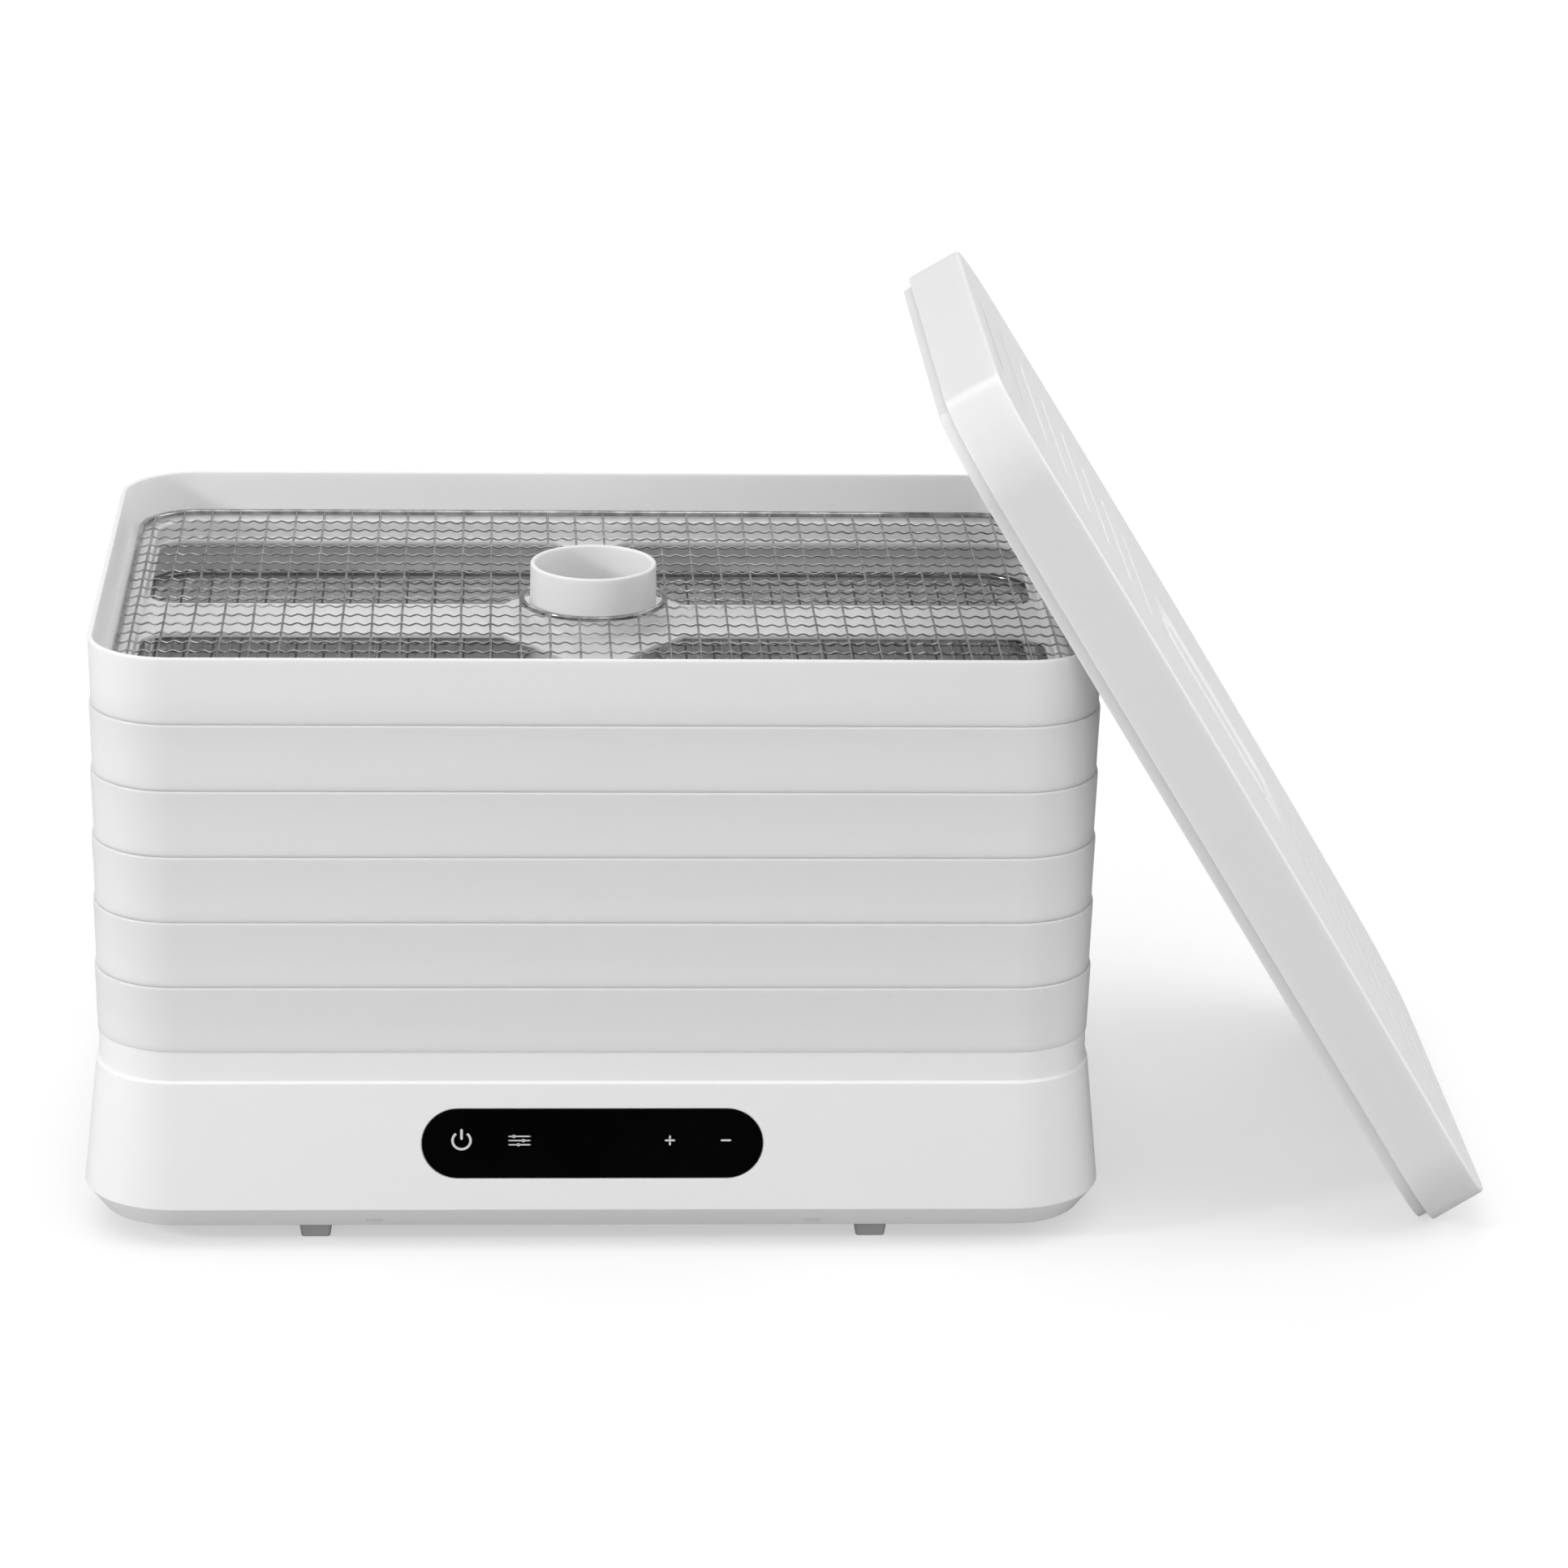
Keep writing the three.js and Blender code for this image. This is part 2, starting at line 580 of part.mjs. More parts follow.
add("base_housing", baseHousing(), "body");
add("base_floor", baseFloor(), "inner");
add("base_deck", baseDeck(), "body");
add("outlet_grille", outletGrille(), "inner");
add("air_nozzle", airNozzle(), "inner");
add("air_duct", airDuct(), "inner");
FOOT_PLACES.forEach((at, i) => add(`foot_${i + 1}`, foot(at), "foot"));
SCREW_PLACES.forEach((at, i) => add(`floor_screw_${i + 1}`, floorScrew(at), "steel"));
add("cord_gland", cordGland(), "dark");
add("control_lens", controlLens(), "lens");
add("display_module", displayModule(), "dark");
add("control_board", controlBoard(), "board");
add("power_board", powerBoard(), "board");
add("fan_motor", fanMotor(), "steel");
add("motor_bracket", motorBracket(), "inner");
add("motor_shaft", motorShaft(), "steel");
add("fan_impeller", fanImpeller(), "dark");
add("heater_frame", heaterFrame(), "mica");
add("heater_coil", heaterCoil(), "steel");
add("thermal_cutout", thermalCutout(), "dark");
add("temperature_sensor", temperatureSensor(), "steel");

const frameSolid = trayFrame();
const meshSolid = meshInsert();
for (let level = 1; level <= TRAY_COUNT; level++) {
  const z = BASE_TOP + level * TRAY_PITCH;
  add(`tray_frame_${level}`, frameSolid, "tray").position.z = z;
  add(`tray_mesh_${level}`, meshSolid, "steel").position.z = z;
}

for (const [name, solid] of [
  ["lid_shell", lidShell()],
  ["lid_handle", lidHandle()],
  ["lid_deflector", lidDeflector()],
]) {
  const piece = add(name, solid, "lid");
  piece.rotation.y = LID_LEAN;
  piece.position.set(...LID_AT);
}

group.updateMatrixWorld(true);
const middle = new THREE.Box3().setFromObject(group, true).getCenter(new THREE.Vector3());
group.position.set(-middle.x, -middle.y, 0);

export default group;
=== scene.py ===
"""Looks for the food dehydrator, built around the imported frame: shells, woven inserts, materials and studio.

Lengths are millimetres, apart from the frame's boxes, the studio and names that end in _m, which are metres.
Pieces are drawn about the stack's centre line, up from the table or a rim; place() moves them into the frame.
"""

import math

import bmesh
import bpy
from mathutils import Matrix, Vector, noise


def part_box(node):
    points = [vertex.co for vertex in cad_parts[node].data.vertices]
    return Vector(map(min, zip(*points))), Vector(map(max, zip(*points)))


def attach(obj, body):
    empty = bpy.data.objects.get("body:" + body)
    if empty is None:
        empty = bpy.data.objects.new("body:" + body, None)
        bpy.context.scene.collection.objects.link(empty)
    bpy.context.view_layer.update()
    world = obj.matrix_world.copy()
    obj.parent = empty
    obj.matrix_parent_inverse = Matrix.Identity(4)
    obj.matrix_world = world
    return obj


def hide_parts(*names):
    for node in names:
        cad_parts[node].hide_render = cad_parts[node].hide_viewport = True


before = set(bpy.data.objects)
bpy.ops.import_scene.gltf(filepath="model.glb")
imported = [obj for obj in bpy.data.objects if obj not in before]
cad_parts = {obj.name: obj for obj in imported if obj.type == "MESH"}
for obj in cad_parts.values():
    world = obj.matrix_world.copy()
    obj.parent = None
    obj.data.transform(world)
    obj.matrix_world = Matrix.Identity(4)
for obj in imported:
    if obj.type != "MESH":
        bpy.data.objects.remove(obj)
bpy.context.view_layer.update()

MM = 0.001
TAU = 2 * math.pi
TRAYS = 6

rim_low, rim_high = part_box("tray_frame_6")
STACK = Vector(((rim_low.x + rim_high.x) / 2, (rim_low.y + rim_high.y) / 2, 0)) / MM
RIM_X = (rim_high.x - rim_low.x) / 2 / MM
RIM_Y = (rim_high.y - rim_low.y) / 2 / MM
RIM_R = 33.2
PITCH = (rim_high.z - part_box("tray_frame_5")[1].z) / MM
BASE_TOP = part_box("base_housing")[1].z / MM

# Tray section, measured down from the rim
DRAFT = 0.8
WALL = 2.0
SHELF_Z = -17.8
SHELF_W = 15.0
FLOOR_T = 2.0
TRAY_GAP = 0.3
SEAM_GAP = 0.02
TRAY_BOTTOM = TRAY_GAP - PITCH
SEAM_Z = SEAM_GAP - PITCH
NEST_INSET = 3.0
NEST_DROP = 4.7
HUB_R = 25.9
HUB_WALL = 2.0
HUB_TOP = -0.4
FLANGE_R = 42.5
OPENING_X = (11.0, 184.2)
OPENING_Y = (21.0, 114.4)
OPENING_R = 12

# Woven insert
FRAME_INSET = 8.4
FRAME_WIRE = 1.25
MESH_Z = -16.1
WEFT_R = 0.4
WARP_R = 0.5
WARP_PITCH = 12.025
WARPS = 32
WEFT_PITCH = 12.43
WEFTS = 19
CRIMPS = 2
CRIMP_DEEP = 0.4
CRIMP_SWAY = 0.15
WARP_LIFT = 0.2
WARP_WAVE = 0.12
RING_IN = 28.25
RING_OUT = 30.5

# Base
SKIRT_TOP = 71.3
SKIRT_BOTTOM = 18.2
BASE_FLOOR = 8.4
FLARE = 4.1
SIDE_FLARE = 5.6
BEVEL = 7.5
COLLAR_INSET = 1.2
LEDGE = 1.2
BASE_WALL = 2.5
LEAN = math.atan2(FLARE, SKIRT_TOP - SKIRT_BOTTOM)
PANEL_Z = 45.8
PANEL_X = 68.0
PANEL_Y = 14.35
PANEL_OFF = -0.9
PANEL_GAP = 0.35
WALL_AT_PANEL = RIM_Y - COLLAR_INSET + LEDGE + (SKIRT_TOP - PANEL_Z) * math.tan(LEAN)
CLIP_X = 88.0
CLIP_HALF = (3.6, 2.4)
GLAND = Vector((130, RIM_Y, 32))
GLAND_HOLE = 6.4
FOOT_TOP = 8.1
FOOT_R = 2.6
MARK_ROW = 1.4
MARK_X = {"power": -52.3, "set": -29.2, "plus": 30.9, "minus": 53.3}

# Lid
LID_X = 201.3
LID_Y = 136.65
LID_R = 38.0
LID_T = 23.75
LID_WALL = 2.2
LIP_INSET = 3.6
LIP_DROP = 4.7
LID_LEAN = math.radians(58.45)
LID_AT = Vector((239.7, -2, 171.84))
LID_ARCH = 1.2
LID_STRIPS = 34
VENTS = [70.3 + 17 * i for i in range(8)]
VENT_W = 3.0
VENT_L = 120.0
DISH_X = 50.0
DISH_Y = 36.0
DISH_R = 14.0
DISH_DEEP = 4.0
GRIP_X = 41.0
GRIP_Y = 12.2
WELL_DEEP = 9.5

# Studio
FLOOR_GLOW = 0.50
DOME_STRENGTH = 0.77


# Outlines -----------------------------------------------------------------------------------------


def rounded_rect(half_x, half_y, radius, steps=10):
    """Points of a rounded rectangle, anticlockwise from the right-hand end of the front edge."""
    radius = max(radius, 0.6)
    points = []
    for quarter, (sx, sy) in enumerate(((1, -1), (1, 1), (-1, 1), (-1, -1))):
        centre = Vector((sx * (half_x - radius), sy * (half_y - radius)))
        for i in range(steps + 1):
            angle = (quarter - 1) * math.pi / 2 + i / steps * math.pi / 2
            points.append(centre + radius * Vector((math.cos(angle), math.sin(angle))))
    return points


def circle(radius, steps=48, centre=(0, 0)):
    x, y = centre
    turns = (TAU * i / steps for i in range(steps))
    return [Vector((x + radius * math.cos(a), y + radius * math.sin(a))) for a in turns]


def arc(centre, radius, start, end, steps):
    return [
        Vector((centre[0] + radius * math.cos(a), centre[1] + radius * math.sin(a)))
        for a in (start + (end - start) * i / steps for i in range(steps + 1))
    ]


def filleted(corners, steps=4, closed=True):
    """Rounds a section. corners are (u, z, radius); a radius of 0 keeps the corner sharp."""
    count = len(corners)
    points = []
    for i, (u, z, radius) in enumerate(corners):
        here = Vector((u, z))
        end = not closed and i in (0, count - 1)
        if radius <= 0 or end:
            points.append(here)
            continue
        back = Vector(corners[i - 1][:2]) - here
        ahead = Vector(corners[(i + 1) % count][:2]) - here
        half = back.angle(ahead) / 2
        reach = min(radius / math.tan(half), 0.49 * back.length, 0.49 * ahead.length)
        radius = reach * math.tan(half)
        middle = here + (back.normalized() + ahead.normalized()).normalized() * radius / math.sin(half)
        first = here + back.normalized() * reach - middle
        last = here + ahead.normalized() * reach - middle
        turn = first.angle_signed(last)
        for k in range(steps + 1):
            a = -turn * k / steps
            points.append(middle + Matrix.Rotation(a, 2) @ first)
    return points


# Mesh building ------------------------------------------------------------------------------------


def add_ring(bm, outline, z):
    return [bm.verts.new((p[0], p[1], z)) for p in outline]


def bridge(bm, lower, upper):
    count = len(lower)
    for i in range(count):
        bm.faces.new((lower[i], lower[(i + 1) % count], upper[(i + 1) % count], upper[i]))


def skin(bm, rings, closed=False):
    """Joins rings of equal length into a wall, and the last to the first when closed."""
    for lower, upper in zip(rings, rings[1:]):
        bridge(bm, lower, upper)
    if closed:
        bridge(bm, rings[-1], rings[0])


def sweep(bm, half_x, half_y, radius, section, closed=True, steps=10):
    """Carries a section round a rounded rectangle. A section point is (distance in from it, height)."""
    rings = [add_ring(bm, rounded_rect(half_x - u, half_y - u, radius - u, steps), z) for u, z in section]
    skin(bm, rings, closed)
    return rings


def revolve(bm, section, closed=True, steps=48, centre=(0, 0)):
    rings = [add_ring(bm, circle(r, steps, centre), z) for r, z in section]
    skin(bm, rings, closed)
    return rings


def cap(bm, *loops):
    """Fills the flat area inside the first loop and outside the others."""
    edges = []
    for loop in loops:
        for i, vert in enumerate(loop):
            other = loop[(i + 1) % len(loop)]
            edges.append(bm.edges.get((vert, other)) or bm.edges.new((vert, other)))
    bmesh.ops.triangle_fill(bm, use_beauty=True, use_dissolve=False, edges=edges)


def tube_along(bm, points, radius, sides=6, closed=False):
    """A tube of even thickness along points, with capped ends."""
    count = len(points)
    rings = []
    normal = None
    for i, point in enumerate(points):
        before = points[i - 1] if closed or i else point
        after = points[(i + 1) % count] if closed or i < count - 1 else point
        tangent = (after - before).normalized()
        if normal is None:
            normal = tangent.cross(Vector((0, 0, 1)))
            if normal.length < 1e-3:
                normal = tangent.cross(Vector((1, 0, 0)))
        normal = (normal - tangent * normal.dot(tangent)).normalized()
        side = tangent.cross(normal)
        turns = (TAU * k / sides for k in range(sides))
        spokes = [math.cos(a) * normal + math.sin(a) * side for a in turns]
        rings.append([bm.verts.new(point + radius * spoke) for spoke in spokes])
    skin(bm, rings, closed)
    if not closed:
        bm.faces.new(rings[0])
        bm.faces.new(rings[-1])


def mesh_object(name, bm, materials, sharp=38, weighted=True):
    """Turns a bmesh in millimetres into a shaded object in metres."""
    bmesh.ops.remove_doubles(bm, verts=bm.verts, dist=1e-4)
    bmesh.ops.recalc_face_normals(bm, faces=bm.faces)
    bmesh.ops.scale(bm, vec=(MM, MM, MM), verts=bm.verts)
    mesh = bpy.data.meshes.new(name)
    bm.to_mesh(mesh)
    bm.free()
    mesh.polygons.foreach_set("use_smooth", [True] * len(mesh.polygons))
    mesh.set_sharp_from_angle(angle=math.radians(sharp))
    piece = bpy.data.objects.new(name, mesh)
    bpy.context.scene.collection.objects.link(piece)
    for material in materials:
        mesh.materials.append(material)
    if weighted:
        add_weighted_normals(piece)
    return piece


def add_weighted_normals(piece):
    modifier = piece.modifiers.new("even_normals", "WEIGHTED_NORMAL")
    modifier.keep_sharp = True
    modifier.weight = 80


def place(piece, z=0.0):
    """Moves a piece drawn about the stack's centre line to its place in the frame."""
    piece.location = (STACK + Vector((0, 0, z))) * MM
    return piece


def settle(piece, body, slot, *nodes):
    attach(piece, body)
    if nodes:
        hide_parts(*nodes)
    return piece


def cut_from(piece, cutter):
    """Cuts one closed object out of another and applies it, so the cutter can go."""
    modifier = piece.modifiers.new("cut", "BOOLEAN")
    modifier.object = cutter
    modifier.operation = "DIFFERENCE"
    modifier.solver = "EXACT"
    bpy.context.view_layer.update()
    done = bpy.data.meshes.new_from_object(piece.evaluated_get(bpy.context.evaluated_depsgraph_get()))
    piece.modifiers.remove(modifier)
    piece.data = done
    bpy.data.objects.remove(cutter)


# Materials ----------------------------------------------------------------------------------------


class Look:
    """A principled material with helpers for its node tree."""

    def __init__(self, name, **values):
        self.material = bpy.data.materials.new(name)
        self.material.use_nodes = True
        self.nodes = self.material.node_tree.nodes
        self.links = self.material.node_tree.links
        self.shader = self.nodes["Principled BSDF"]
        for key, value in values.items():
            self.shader.inputs[key.replace("_", " ")].default_value = value
        self.place = self.nodes.new("ShaderNodeTexCoord").outputs["Object"]

    def noise(self, scale, detail=3.0, stretch=None):
        source = self.place
        if stretch:
            mapping = self.nodes.new("ShaderNodeMapping")
            mapping.inputs["Scale"].default_value = stretch
            self.links.new(source, mapping.inputs["Vector"])
            source = mapping.outputs["Vector"]
        node = self.nodes.new("ShaderNodeTexNoise")
        node.inputs["Scale"].default_value = scale
        node.inputs["Detail"].default_value = detail
        node.inputs["Roughness"].default_value = 0.55
        self.links.new(source, node.inputs["Vector"])
        return node.outputs["Fac"]

    def colour(self, source, low, high):
        """Runs the base colour from low to high over the middle of a noise's range."""
        node = self.nodes.new("ShaderNodeValToRGB")
        for element, position, value in zip(node.color_ramp.elements, (0.35, 0.65), (low, high)):
            element.position = position
            element.color = (*value, 1)
        self.links.new(source, node.inputs["Fac"])
        self.links.new(node.outputs["Color"], self.shader.inputs["Base Color"])

    def rough(self, source, low, high):
        node = self.nodes.new("ShaderNodeMapRange")
        node.inputs["From Min"].default_value = 0.3
        node.inputs["From Max"].default_value = 0.7
        node.inputs["To Min"].default_value = low
        node.inputs["To Max"].default_value = high
        self.links.new(source, node.inputs["Value"])
        self.links.new(node.outputs["Result"], self.shader.inputs["Roughness"])

    def bump(self, source, strength, distance_mm):
        node = self.nodes.new("ShaderNodeBump")
        node.inputs["Strength"].default_value = strength
        node.inputs["Distance"].default_value = distance_mm * MM
        self.links.new(source, node.inputs["Height"])
        self.links.new(node.outputs["Normal"], self.shader.inputs["Normal"])


def grey(value):
    return (value, value, value)


def moulded_white(name, tone, low, high, bleed):
    """Glossy translucent moulding, faintly mottled and grained. Light spreads bleed millimetres into it."""
    look = Look(
        name,
        IOR=1.5,
        Specular_IOR_Level=0.5,
        Subsurface_Weight=0.8,
        Subsurface_Radius=(1, 1, 1),
        Subsurface_Scale=bleed * MM,
    )
    look.colour(look.noise(320, 3), grey(tone - 0.002), grey(tone + 0.002))
    look.rough(look.noise(420, 3), low, high)
    look.bump(look.noise(900, 2), 0.02, 0.008)
    return look.material


def polished_wire(name):
    """Polished stainless wire, darker and duller in patches, with a fine grain."""
    look = Look(name, Metallic=1.0)
    look.colour(look.noise(160, 3), grey(0.26), grey(0.48))
    look.rough(look.noise(420, 2), 0.09, 0.17)
    look.bump(look.noise(2600, 2), 0.15, 0.02)
    return look.material


def black_glass(name):
    look = Look(name, Specular_IOR_Level=0.02)
    look.colour(look.noise(40, 2), (0.0006, 0.0006, 0.0008), (0.0012, 0.0012, 0.0015))
    look.rough(look.noise(60, 4), 0.05, 0.12)
    look.bump(look.noise(500, 2), 0.02, 0.01)
    return look.material


def printed_mark(name):
    look = Look(name)
    look.colour(look.noise(700, 2), grey(0.62), grey(0.72))
    look.rough(look.noise(500, 2), 0.4, 0.55)
    look.bump(look.noise(3000, 2), 0.1, 0.01)
    return look.material


def plain_moulding(name, low_colour, high_colour, low, high, grain=1500, depth=0.05):
    look = Look(name)
    look.colour(look.noise(30, 4), low_colour, high_colour)
    look.rough(look.noise(90, 3), low, high)
    look.bump(look.noise(grain, 3), 0.3, depth)
    return look.material


def brushed_metal(name, low_colour, high_colour, low, high, stretch=(1, 1, 30)):
    look = Look(name, Metallic=1.0)
    look.colour(look.noise(50, 4), low_colour, high_colour)
    look.rough(look.noise(120, 3, stretch), low, high)
    look.bump(look.noise(300, 2, stretch), 0.2, 0.03)
    return look.material


def circuit_board(name):
    """Green solder mask over paler tracks."""
    look = Look(name)
    brick = look.nodes.new("ShaderNodeTexBrick")
    brick.inputs["Scale"].default_value = 160
    brick.inputs["Mortar Size"].default_value = 0.06
    brick.inputs["Color1"].default_value = (0.012, 0.16, 0.06, 1)
    brick.inputs["Color2"].default_value = (0.016, 0.2, 0.08, 1)
    brick.inputs["Mortar"].default_value = (0.05, 0.3, 0.14, 1)
    look.links.new(look.place, brick.inputs["Vector"])
    look.links.new(brick.outputs["Color"], look.shader.inputs["Base Color"])
    look.rough(look.noise(200, 3), 0.3, 0.5)
    look.bump(brick.outputs["Fac"], 0.3, 0.05)
    return look.material


# Base, trays and lid are one white plastic. Their tones differ only as painted light: the base's tone is
# raised, and the trays' and lid's are lowered, to paint in how bright each part looks under these lamps.
WHITE_BODY_PAINTED_LIGHTER = moulded_white("white_body", 0.94, 0.30, 0.315, 0.4)
WHITE_TRAY_PAINTED_DARKER = moulded_white("white_tray", 0.84, 0.31, 0.325, 4.0)
WHITE_LID_PAINTED_DARKER = moulded_white("white_lid", 0.82, 0.29, 0.305, 3.0)
WIRE = polished_wire("polished_wire")
LENS = black_glass("black_lens")
MARK = printed_mark("printed_mark")
# Painted shade: the feet are taken to be white plastic, and this grey stands in for the shade they sit in
# under the base.
FOOT_PAINTED_SHADE = plain_moulding("foot_plastic", grey(0.46), grey(0.54), 0.5, 0.65)
INNER = plain_moulding("inner_plastic", grey(0.60), grey(0.68), 0.45, 0.6)
DARK = plain_moulding("dark_plastic", grey(0.02), grey(0.035), 0.4, 0.55)
MICA = plain_moulding("mica_sheet", (0.50, 0.42, 0.26), (0.62, 0.54, 0.36), 0.5, 0.7, 400, 0.1)
STEEL = brushed_metal("plain_steel", grey(0.45), grey(0.6), 0.3, 0.45)
COIL = brushed_metal("heater_sheath", (0.16, 0.15, 0.14), (0.28, 0.26, 0.24), 0.4, 0.6, (1, 1, 1))
BOARD = circuit_board("circuit_board")


# Trays --------------------------------------------------------------------------------------------


def floor_opening(grow):
    """The opening in one quarter of the tray floor, following the hub's flange; grow widens it all round."""
    near_x, far_x = OPENING_X[0] - grow, OPENING_X[1] + grow
    near_y, far_y = OPENING_Y[0] - grow, OPENING_Y[1] + grow
    flange = FLANGE_R - grow
    start = math.asin(near_y / flange)
    points = arc((0, 0), flange, math.radians(54), start, 8)
    corners = [
        (*points[-1], 0),
        (far_x, near_y, OPENING_R + grow),
        (far_x, far_y, OPENING_R + grow),
        (near_x, far_y, 8 + grow),
        (near_x, near_y + 36, 16),
        (*points[0], 0),
    ]
    rest = filleted(corners, steps=8, closed=False)
    return points + rest[1:-1]


def build_tray_mesh():
    bm = bmesh.new()
    floor_top = TRAY_BOTTOM + FLOOR_T
    corners = [
        (SHELF_W, floor_top, 0),
        (SHELF_W, SHELF_Z, 1.0),
        (WALL + 1.2, SHELF_Z, 1.4),
        (WALL, 0, 0.5),
        (0, 0, 0.75),
        (DRAFT, SEAM_Z, 0.04),
        (DRAFT + 0.6, SEAM_Z, 0.04),
        (NEST_INSET, TRAY_BOTTOM, 0.3),
        (NEST_INSET + 0.1, TRAY_BOTTOM - NEST_DROP, 0.5),
        (NEST_INSET + 1.7, TRAY_BOTTOM - NEST_DROP, 0.5),
        (NEST_INSET + 1.8, SHELF_Z - 2, 0.5),
        (SHELF_W - 2, SHELF_Z - 2, 0.5),
        (SHELF_W - 2, TRAY_BOTTOM, 0),
        (SHELF_W, TRAY_BOTTOM, 0),
    ]
    rings = sweep(bm, RIM_X, RIM_Y, RIM_R, filleted(corners, closed=False), closed=False)
    fillet = 0.5
    top_loops = [rings[0]]
    bottom_loops = [rings[-1]]
    section = filleted(
        [(fillet, TRAY_BOTTOM, 0), (0, TRAY_BOTTOM, fillet), (0, floor_top, fillet), (fillet, floor_top, 0)],
        steps=3,
        closed=False,
    )
    for sx, sy in ((1, 1), (1, -1), (-1, 1), (-1, -1)):
        walls = [add_ring(bm, [(sx * p.x, sy * p.y) for p in floor_opening(u)], z) for u, z in section]
        skin(bm, walls)
        bottom_loops.append(walls[0])
        top_loops.append(walls[-1])
    hub = filleted(
        [
            (HUB_R - HUB_WALL, TRAY_BOTTOM, 0),
            (HUB_R - HUB_WALL, HUB_TOP, 0.8),
            (HUB_R, HUB_TOP, 0.8),
            (HUB_R + 0.2, floor_top, 1.5),
            (HUB_R + 4, floor_top, 0),
        ],
        closed=False,
    )
    hub_rings = revolve(bm, hub, closed=False, steps=64)
    bottom_loops.append(hub_rings[0])
    top_loops.append(hub_rings[-1])
    cap(bm, *top_loops)
    cap(bm, *bottom_loops)
    return bm


def build_trays():
    first = None
    for level in range(1, TRAYS + 1):
        name = f"tray_{level}_shell"
        if first is None:
            first = mesh_object(name, build_tray_mesh(), [WHITE_TRAY_PAINTED_DARKER])
            piece = first
        else:
            piece = bpy.data.objects.new(name, first.data)
            bpy.context.scene.collection.objects.link(piece)
            add_weighted_normals(piece)
        place(piece, BASE_TOP + level * PITCH)
        settle(piece, f"tray_{level}", "white_tray", f"tray_frame_{level}")


# Woven inserts ------------------------------------------------------------------------------------


def frame_reach(offset, across, along):
    """How far a wire reaches, this far off the centre line, inside a rim of these half sizes."""
    radius = RIM_R - FRAME_INSET
    over = abs(offset) - (across - FRAME_INSET - radius)
    straight = along - FRAME_INSET
    if over <= 0:
        return straight
    return straight - radius + math.sqrt(max(radius**2 - over**2, 0))


def spans(reach, gap):
    """The stretches of a wire from -reach to reach, less a gap in the middle if it crosses the ring."""
    if gap is None:
        return [(-reach, reach)]
    return [(-reach, -gap), (gap, reach)]


def ring_gap(offset):
    middle = (RING_IN + RING_OUT) / 2
    return math.sqrt(middle**2 - offset**2) if abs(offset) < middle else None


def build_insert_mesh():
    bm = bmesh.new()
    outline = rounded_rect(RIM_X - FRAME_INSET, RIM_Y - FRAME_INSET, RIM_R - FRAME_INSET, 12)
    tube_along(bm, [Vector((p.x, p.y, MESH_Z)) for p in outline], FRAME_WIRE, 12, closed=True)
    ring = filleted(
        [
            (RING_IN, MESH_Z - 1.0, 0.6),
            (RING_OUT, MESH_Z - 1.0, 0.6),
            (RING_OUT, MESH_Z + 1.1, 0.9),
            (RING_IN, MESH_Z + 1.1, 0.9),
        ],
        steps=4,
    )
    revolve(bm, ring, steps=64)
    step = WARP_PITCH / CRIMPS / 6
    for row in range(WEFTS):
        y = (row - (WEFTS - 1) / 2) * WEFT_PITCH
        for start, end in spans(frame_reach(y, RIM_Y, RIM_X), ring_gap(y)):
            count = max(2, round((end - start) / step))
            points = []
            for i in range(count + 1):
                x = start + (end - start) * i / count
                wave = math.cos(TAU * CRIMPS * (x / WARP_PITCH + 0.5))
                sway = 0.25 * noise.noise(Vector((x * 0.05, y, 3.1)))
                points.append(Vector((x, y + sway + CRIMP_SWAY * wave, MESH_Z + CRIMP_DEEP * wave)))
            tube_along(bm, points, WEFT_R, 6)
    for column in range(WARPS):
        x = (column - (WARPS - 1) / 2) * WARP_PITCH
        for start, end in spans(frame_reach(x, RIM_X, RIM_Y), ring_gap(x)):
            count = max(3, round((end - start) / (WEFT_PITCH / 6)))
            points = []
            for i in range(count + 1):
                y = start + (end - start) * i / count
                wave = math.cos(TAU * y / WEFT_PITCH)
                sway = 0.2 * noise.noise(Vector((x, y * 0.04, 7.7)))
                points.append(Vector((x + sway, y, MESH_Z + WARP_LIFT + WARP_WAVE * wave)))
            tube_along(bm, points, WARP_R, 7)
    return bm


def build_inserts():
    first = None
    for level in range(1, TRAYS + 1):
        name = f"woven_insert_{level}"
        if first is None:
            first = mesh_object(name, build_insert_mesh(), [WIRE], sharp=60, weighted=False)
            piece = first
        else:
            piece = bpy.data.objects.new(name, first.data)
            bpy.context.scene.collection.objects.link(piece)
        place(piece, BASE_TOP + level * PITCH)
        settle(piece, f"insert_{level}", "stainless_mesh", f"tray_mesh_{level}")


# Base ---------------------------------------------------------------------------------------------


def disc_hole(radius, low, high):
    """A round cutter along Z."""
    bm = bmesh.new()
    rings = revolve(bm, [(radius, low), (radius, high)], closed=False, steps=32)
    cap(bm, rings[0])
    cap(bm, rings[1])
    return bm


def onto_rear(bm):
    """Turns what is drawn about Z, facing +Z, to the cord's place on the rear wall."""
    turn = Matrix.Translation(GLAND) @ Matrix.Rotation(-math.pi / 2, 4, "X")
    bmesh.ops.transform(bm, matrix=turn, verts=bm.verts)
    return bm


def onto_front(bm):
    """Turns what is drawn in the XY plane, facing +Z, onto the leaning front wall."""
    turn = Matrix.Rotation(math.pi / 2 - LEAN, 4, "X")
    middle = Matrix.Translation((PANEL_OFF, -WALL_AT_PANEL, PANEL_Z))
    bmesh.ops.transform(bm, matrix=middle @ turn, verts=bm.verts)
    return bm


def pill_plate(half_x, half_y, section, steps=14):
    """A plate with rounded ends whose edge follows a section of (distance in, height)."""
    bm = bmesh.new()
    rings = []
    for u, z in section:
        end = half_y - u
        rings.append(add_ring(bm, rounded_rect(half_x - u, end, end - 0.01, steps), z))
    skin(bm, rings)
    cap(bm, rings[0])
    cap(bm, rings[-1])
    return bm


